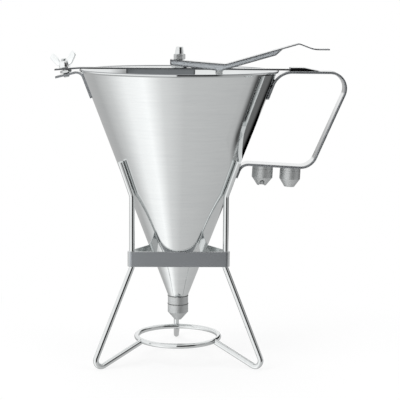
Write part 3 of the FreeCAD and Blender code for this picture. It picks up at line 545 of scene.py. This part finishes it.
def leg_turn(azimuth):
    return Matrix.Rotation(math.radians(azimuth + STAND_YAW), 3, "Z")


def wire(name, path, radius, place, closed=False):
    """A smooth round wire of the stand along a path of points."""
    return tube(name, [place @ Vector(point) for point in path], radius, "stand", WIRE,
                around=40, closed=closed)


def leg_line():
    """The centre line of a leg in the XZ plane, with bends rounded and runs divided."""
    bent = rounded_outline(LEG_PATH, LEG_BENDS, 16)
    result = []
    for start, end in zip(bent, bent[1:]):
        result += line(start, end, max(1, int(math.dist(start, end) / LEG_STEP)))[:-1]
    return [(x, 0, z) for x, z in result + [LEG_PATH[-1]]]


for leg, azimuth in LEG_AZIMUTHS:
    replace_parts(wire(f"{leg}_wire", leg_line(), LEG_WIRE, leg_turn(azimuth)), f"{leg}_leg")
circle = [(RING_RADIUS * math.cos(t), RING_RADIUS * math.sin(t), RING_HEIGHT)
          for t in (2 * math.pi * i / RING_STEPS for i in range(RING_STEPS))]
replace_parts(wire("ring_wire", circle, RING_WIRE, Matrix.Identity(3), closed=True),
            "base_ring")


# ---- wing nut, with its heights from its base
WING = leaning(STUD_X, STUD_Z, STUD_LEAN, -32.0)
WING_BASE = 1.6 + 5.8 * math.sin(STUD_TO_BAR)
HUB_PROFILE = ((3.08, 0.3), (3.4, 0), (5.5, 0), (5.8, 0.4), (5.75, 0.9), (4.95, 5.9),
               (4.6, 6.3), (3.4, 6.3), (3.08, 6.0))
WING_CORNERS = ((3.9, 1.2), (8.8, 2.5), (16.3, 11.4), (12.1, 15.4), (7.5, 11.2), (3.9, 5.2))
WING_ROUNDS = (0, 5.0, 2.2, 1.1, 8.0, 0)
WING_THICK, WING_EDGE = 2.2, 0.6
# the hub and wing faces take a painted highlight and the wings' edges a painted shade
hub = lathe("wing_hub", [(radius, WING_BASE + rise) for radius, rise in HUB_PROFILE],
            "clamp", HIGHLIGHT_CASTING, steps=96, place=WING, smooth=40.0)
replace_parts(hub, "wing_nut")
for side_name, side in (("left", -1), ("right", 1)):
    corners = [(side * x, WING_BASE + rise) for x, rise in WING_CORNERS]
    wing = plate(f"{side_name}_wing", rounded_outline(corners, WING_ROUNDS), WING_THICK,
                 WING_EDGE, "clamp", HIGHLIGHT_CASTING, PAINTED_SHADE, WING)
    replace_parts(wing, "wing_nut")


# ---- cap nut and guide bush
CAP_PROFILE = ([(0, 309.1), (3.02, 309.1), (3.02, 302.0), (3.4, 301.6), (4.8, 301.6)]
               + line((4.8, 301.6), (5.774, 302.15), 5)[1:]
               + line((5.774, 306.65), (4.82, 307.2), 5)
               + [(4.7, 307.22), (3.6, 313.0)] + arc((2.75, 313.35), 0.85, 0, 90, 5)[1:]
               + [(0, 314.2)])
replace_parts(lathe("cap_nut_turned", CAP_PROFILE, "plunger", SCREW, steps=96,
                  shape=hexagon(10.0), smooth=20.0), "cap_nut")

BUSH_PROFILE = ([(3.05, 279.5), (5.2, 279.5), (5.5, 279.8), (5.5, 283.5), (9.7, 283.5),
                 (10.0, 283.8), (10.0, 285.2), (9.7, 285.5), (5.0, 285.5), (5.0, 293.0)]
                + line((5.0, 293.2), (5.0, 296.1), 30)
                + [(4.6, 296.5), (3.05, 296.5)])
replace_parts(lathe("threaded_bush", BUSH_PROFILE, "funnel", TURNED, steps=96,
                  shape=threads(5.0, 1.0, 0.5, 293.4, 296.0), smooth=60.0), "guide_bush")


# ---- return spring
COIL_RADIUS, COIL_WIRE, COIL_TURNS, COIL_RISE = 8.1, 0.9, 8.0, 3.6
COIL_LOW, COIL_HIGH, COIL_STEPS = 236.15, 283.4, 40


def coil_path():
    """The coil's centre line, with ends that stand square on what they meet."""
    pitch = (COIL_HIGH - COIL_LOW - 2 * COIL_RISE) / COIL_TURNS
    middle = [(COIL_RADIUS * math.cos(t), COIL_RADIUS * math.sin(t),
               COIL_LOW + COIL_RISE + pitch * i / COIL_STEPS)
              for i, t in ((i, 2 * math.pi * i / COIL_STEPS)
                           for i in range(int(COIL_TURNS * COIL_STEPS) + 1))]
    foot = [(COIL_RADIUS * math.cos(t), COIL_RADIUS * math.sin(t), COIL_LOW + rise)
            for t, rise in ((-0.35, 0), (-0.35, 1.2), (-0.30, 2.1), (-0.16, 3.0))]
    head = [(x, -y, COIL_LOW + COIL_HIGH - z) for x, y, z in reversed(foot)]
    return foot + middle + head


# its top stays under the bush, and the rod's travel takes 8.4 mm of its 47.5 mm
coil = tube("coil", coil_path(), COIL_WIRE, "funnel", SPRING, around=14)
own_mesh(coil)
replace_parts(coil, "return_spring")


# ---- weld seams, and dark strips and rings of painted shade at contacts and joint lines
def along(points, step=0.55):
    """Points at an even spacing down a list of points."""
    result = [Vector(points[0])]
    for a, b in zip(points, points[1:]):
        a, b = Vector(a), Vector(b)
        count = max(1, int((b - a).length / step))
        result += [a.lerp(b, (i + 1) / count) for i in range(count)]
    return [tuple(point) for point in result]


def seam(name, points, radius, body, material=WELD, ripple=0.16, place=None):
    """A rippled bead with tapered ends along a list of points."""
    path = [place @ Vector(point) if place else point for point in along(points)]
    return tube(name, path, radius, body, material, around=10, ripple=ripple, taper=3)


def on_cone(height, out, across):
    """A point on the cone's outside, beyond it by out, at a height and an offset along Y."""
    radius = cone_radius(height) + out
    return math.sqrt(radius ** 2 - across ** 2), across, height


SEAM_HALF, SEAM_POINTS = 11.0, 12
for name, height in (("grip_seam", 264.2), ("foot_seam", 187.4)):
    seam(name, [on_cone(height, 0.4, -SEAM_HALF + 2 * SEAM_HALF * i / SEAM_POINTS)
                for i in range(SEAM_POINTS + 1)], 0.9, "funnel")

# along each leg's contact with the cone lies a strip of near-black steel, a painted shadow
CONTACT_SHADOW_ENDS = (176.0, 202.5)
RING_SEAM_RADIUS = 2.6
RING_SEAM_TURNS = [math.radians(20 * k) for k in range(-2, 12)]
for leg, azimuth in LEG_AZIMUTHS:
    seam(f"{leg}_contact_shadow", [(cone_radius(z) + 0.75, 0, z) for z in CONTACT_SHADOW_ENDS], 1.15,
         "stand", PAINTED_SHADE, 0.05, leg_turn(azimuth))
    seam(f"{leg}_ring_seam", [(RING_RADIUS + 1.6, RING_SEAM_RADIUS * math.cos(t),
                               RING_HEIGHT - 1.0 + RING_SEAM_RADIUS * math.sin(t))
                              for t in RING_SEAM_TURNS],
         0.55, "stand", WELD, 0.2, leg_turn(azimuth))
# near-black rings of painted shade at the collar's top and in the gap between collar and
# nozzle
for name, height, radius in (("collar_groove_shade", NECK_HEIGHT + 0.1, 10.15),
                             ("nozzle_gap_shade", 56.45, 10.22)):
    lathe(name, arc((radius, height), 0.42, 0, 330, 11), "funnel", PAINTED_SHADE, steps=96)


# ---- surroundings
FLOOR_WHITE, FLOOR_BLEND, FLOOR_HALF = 0.8, (0.12, 0.34), 6

# What bright metal mirrors: brightness by bearing, in degrees from the camera's side
# towards +X, for the room, for the ground close in front, and for the dark screen that
# stands to the right of the funnel.
ROOM = ((-180, 0.14), (-160, 0.30), (-138, 0.55), (-128, 1.08), (-2.6, 1.02), (-1.7, 0.03),
        (44, 0.02), (52, 0.40), (110, 0.46), (125, 0.15), (150, 0.08), (180, 0.14))
GROUND = ((-180, 0.50), (-130, 0.52), (-105, 0.74), (-78, 1.12), (-50, 1.24), (-24, 0.84),
          (10, 0.66), (98, 0.58), (150, 0.54), (180, 0.50))
SCREEN = ((-180, 0.1), (80, 0.58), (91, 0.54), (96, 0.30), (100, 0.08), (104, 0.09),
          (110, 0.17), (127, 0.15), (133, 0.05), (137, 0.0), (180, 0.0))


def by_bearing(n, bearing, stops):
    """A brightness read off a list of (bearing in degrees, level)."""
    ramp = n.add("ValToRGB")
    elements = ramp.color_ramp.elements
    while len(elements) < len(stops):
        elements.new(0.5)
    for element, (angle, level) in zip(elements, stops):
        element.position = (angle + 180) / 360
        element.color = (level, level, level, 1)
    n.join(n.ranged(bearing, -math.pi, math.pi, 0, 1), ramp.inputs["Fac"])
    return ramp.outputs["Color"]


def floor_material():
    """Pale floor that shows white to the camera, with a soft shadow near the object."""
    material = bpy.data.materials.new("pale_floor")
    n = Nodes(material)
    matt = n.add("BsdfDiffuse")
    matt.inputs["Color"].default_value = (0.86, 0.86, 0.86, 1)
    white = n.add("Emission")
    white.inputs["Strength"].default_value = 1.0
    away = n.add("VectorMath", operation="LENGTH")
    n.join(n.add("NewGeometry").outputs["Position"], away.inputs[0])
    mix = n.add("MixShader")
    n.join(n.ranged(away.outputs["Value"], *FLOOR_BLEND, FLOOR_WHITE, 1.0), mix.inputs[0])
    n.join(matt.outputs[0], mix.inputs[1])
    n.join(white.outputs[0], mix.inputs[2])
    n.finish(mix.outputs[0])
    return material


SCREEN_FADE, SCREEN_REACH, SCREEN_BASE = (0.055, 0.085), 0.30, 0.05
SCREEN_FROM, SCREEN_TURN, SCREEN_CARDS = 80, 80, 12
SCREEN_TOP, SCREEN_BACK_TOP, SCREEN_BACK = 0.24, 0.205, 10


def screen_material():
    """What stands to the right of the funnel, dark and brighter towards the floor."""
    material = bpy.data.materials.new("dark_screen")
    n = Nodes(material)
    place = n.axes(n.add("NewGeometry").outputs["Position"])
    low = n.add("RGB")
    low.outputs[0].default_value = (0.56, 0.56, 0.56, 1)
    glow = n.add("Emission")
    n.join(n.mixed(n.ranged(place["Z"], *SCREEN_FADE, 0.0, 1.0), low.outputs[0],
                   by_bearing(n, n.bearing(place), SCREEN)), glow.inputs["Color"])
    n.finish(glow.outputs[0])
    return material


def card(name, corners, material, mirrored_only=True):
    """A flat piece of the surroundings, seen in mirrors only or as a plain surface."""
    mesh = bpy.data.meshes.new(name)
    mesh.from_pydata([Vector(c) for c in corners], [], [tuple(range(len(corners)))])
    obj = bpy.data.objects.new(name, mesh)
    bpy.context.collection.objects.link(obj)
    obj.data.materials.append(material)
    if mirrored_only:
        obj.visible_camera = False
        obj.visible_diffuse = False
        obj.visible_shadow = False
        obj.visible_transmission = False
    return obj


floor = card("floor", [(x * FLOOR_HALF, y * FLOOR_HALF, 0)
                       for x, y in ((-1, -1), (1, -1), (1, 1), (-1, 1))],
             floor_material(), mirrored_only=False)
floor.visible_glossy = False

screen_look = screen_material()
for i in range(SCREEN_CARDS):
    near, far = ((SCREEN_REACH * math.sin(t), -SCREEN_REACH * math.cos(t))
                 for t in (math.radians(SCREEN_FROM + SCREEN_TURN * k / SCREEN_CARDS)
                           for k in (i, i + 1)))
    top = SCREEN_TOP if i < SCREEN_BACK else SCREEN_BACK_TOP
    card(f"screen_{i}", [(*near, SCREEN_BASE), (*far, SCREEN_BASE), (*far, top), (*near, top)],
         screen_look)

# The ground is mirrored below a plane that dips towards the camera, and plain white
# above the horizon behind the funnel and overhead.
GROUND_LEAN, GROUND_BLEND = -0.25, (-0.16, -0.08)
HORIZON_BLEND, BACK_BLEND, OVERHEAD_BLEND = (0.0, 0.03), (-0.1, 0.3), (0.62, 0.8)
ROOM_COLOUR, ROOM_STRENGTH = (0.9, 0.9, 0.9, 1), 0.55


def studio():
    """A dim even room for light, with its own picture for mirrors and white for the camera."""
    world = bpy.data.worlds.new("studio")
    n = Nodes(world)
    way = n.axes(n.add("TexCoord").outputs["Generated"])
    bearing = n.bearing(way)
    height = n.maths("MULTIPLY_ADD", way["Y"], GROUND_LEAN, way["Z"])
    mirrored = n.mixed(n.ranged(height, *GROUND_BLEND, 0, 1), by_bearing(n, bearing, GROUND),
                       by_bearing(n, bearing, ROOM))
    behind = n.maths("MULTIPLY", n.ranged(way["Z"], *HORIZON_BLEND, 0, 1),
                     n.ranged(way["Y"], *BACK_BLEND, 0, 1))
    bright = n.maths("MAXIMUM", behind, n.ranged(way["Z"], *OVERHEAD_BLEND, 0, 1))
    plain_white = n.add("RGB")
    plain_white.outputs[0].default_value = (1, 1, 1, 1)
    mirrored = n.mixed(bright, mirrored, plain_white.outputs[0])
    surface = n.add("Background")
    surface.inputs["Color"].default_value = ROOM_COLOUR
    surface.inputs["Strength"].default_value = ROOM_STRENGTH
    paths = n.add("LightPath")
    for ray, colour in (("Is Glossy Ray", mirrored), ("Is Camera Ray", None),
                        ("Is Transmission Ray", None)):
        light = n.add("Background")
        light.inputs["Color"].default_value = (1, 1, 1, 1)
        if colour is not None:
            n.join(colour, light.inputs["Color"])
        mix = n.add("MixShader")
        n.join(paths.outputs[ray], mix.inputs[0])
        n.join(surface.outputs[0], mix.inputs[1])
        n.join(light.outputs[0], mix.inputs[2])
        surface = mix
    n.join(surface.outputs[0], n.add("OutputWorld").inputs["Surface"])
    return world


bpy.context.scene.world = studio()


def lamp(name, place, target, size, power):
    """A soft area light that isn't mirrored."""
    data = bpy.data.lights.new(name, "AREA")
    data.shape = "RECTANGLE"
    data.size, data.size_y = size
    data.energy = power
    obj = bpy.data.objects.new(name, data)
    obj.location = place
    obj.rotation_euler = (Vector(target) - Vector(place)).to_track_quat("-Z", "Y").to_euler()
    bpy.context.collection.objects.link(obj)
    obj.visible_glossy = False
    return obj


lamp("key", (-1.2, -1.0, 1.6), (0, 0, 0.15), (1.2, 1.2), 22)
lamp("fill", (1.4, -0.8, 1.2), (0, 0, 0.15), (1.2, 1.2), 12)
lamp("top", (0, 0.3, 2.0), (0, 0, 0.1), (1.6, 1.6), 16)
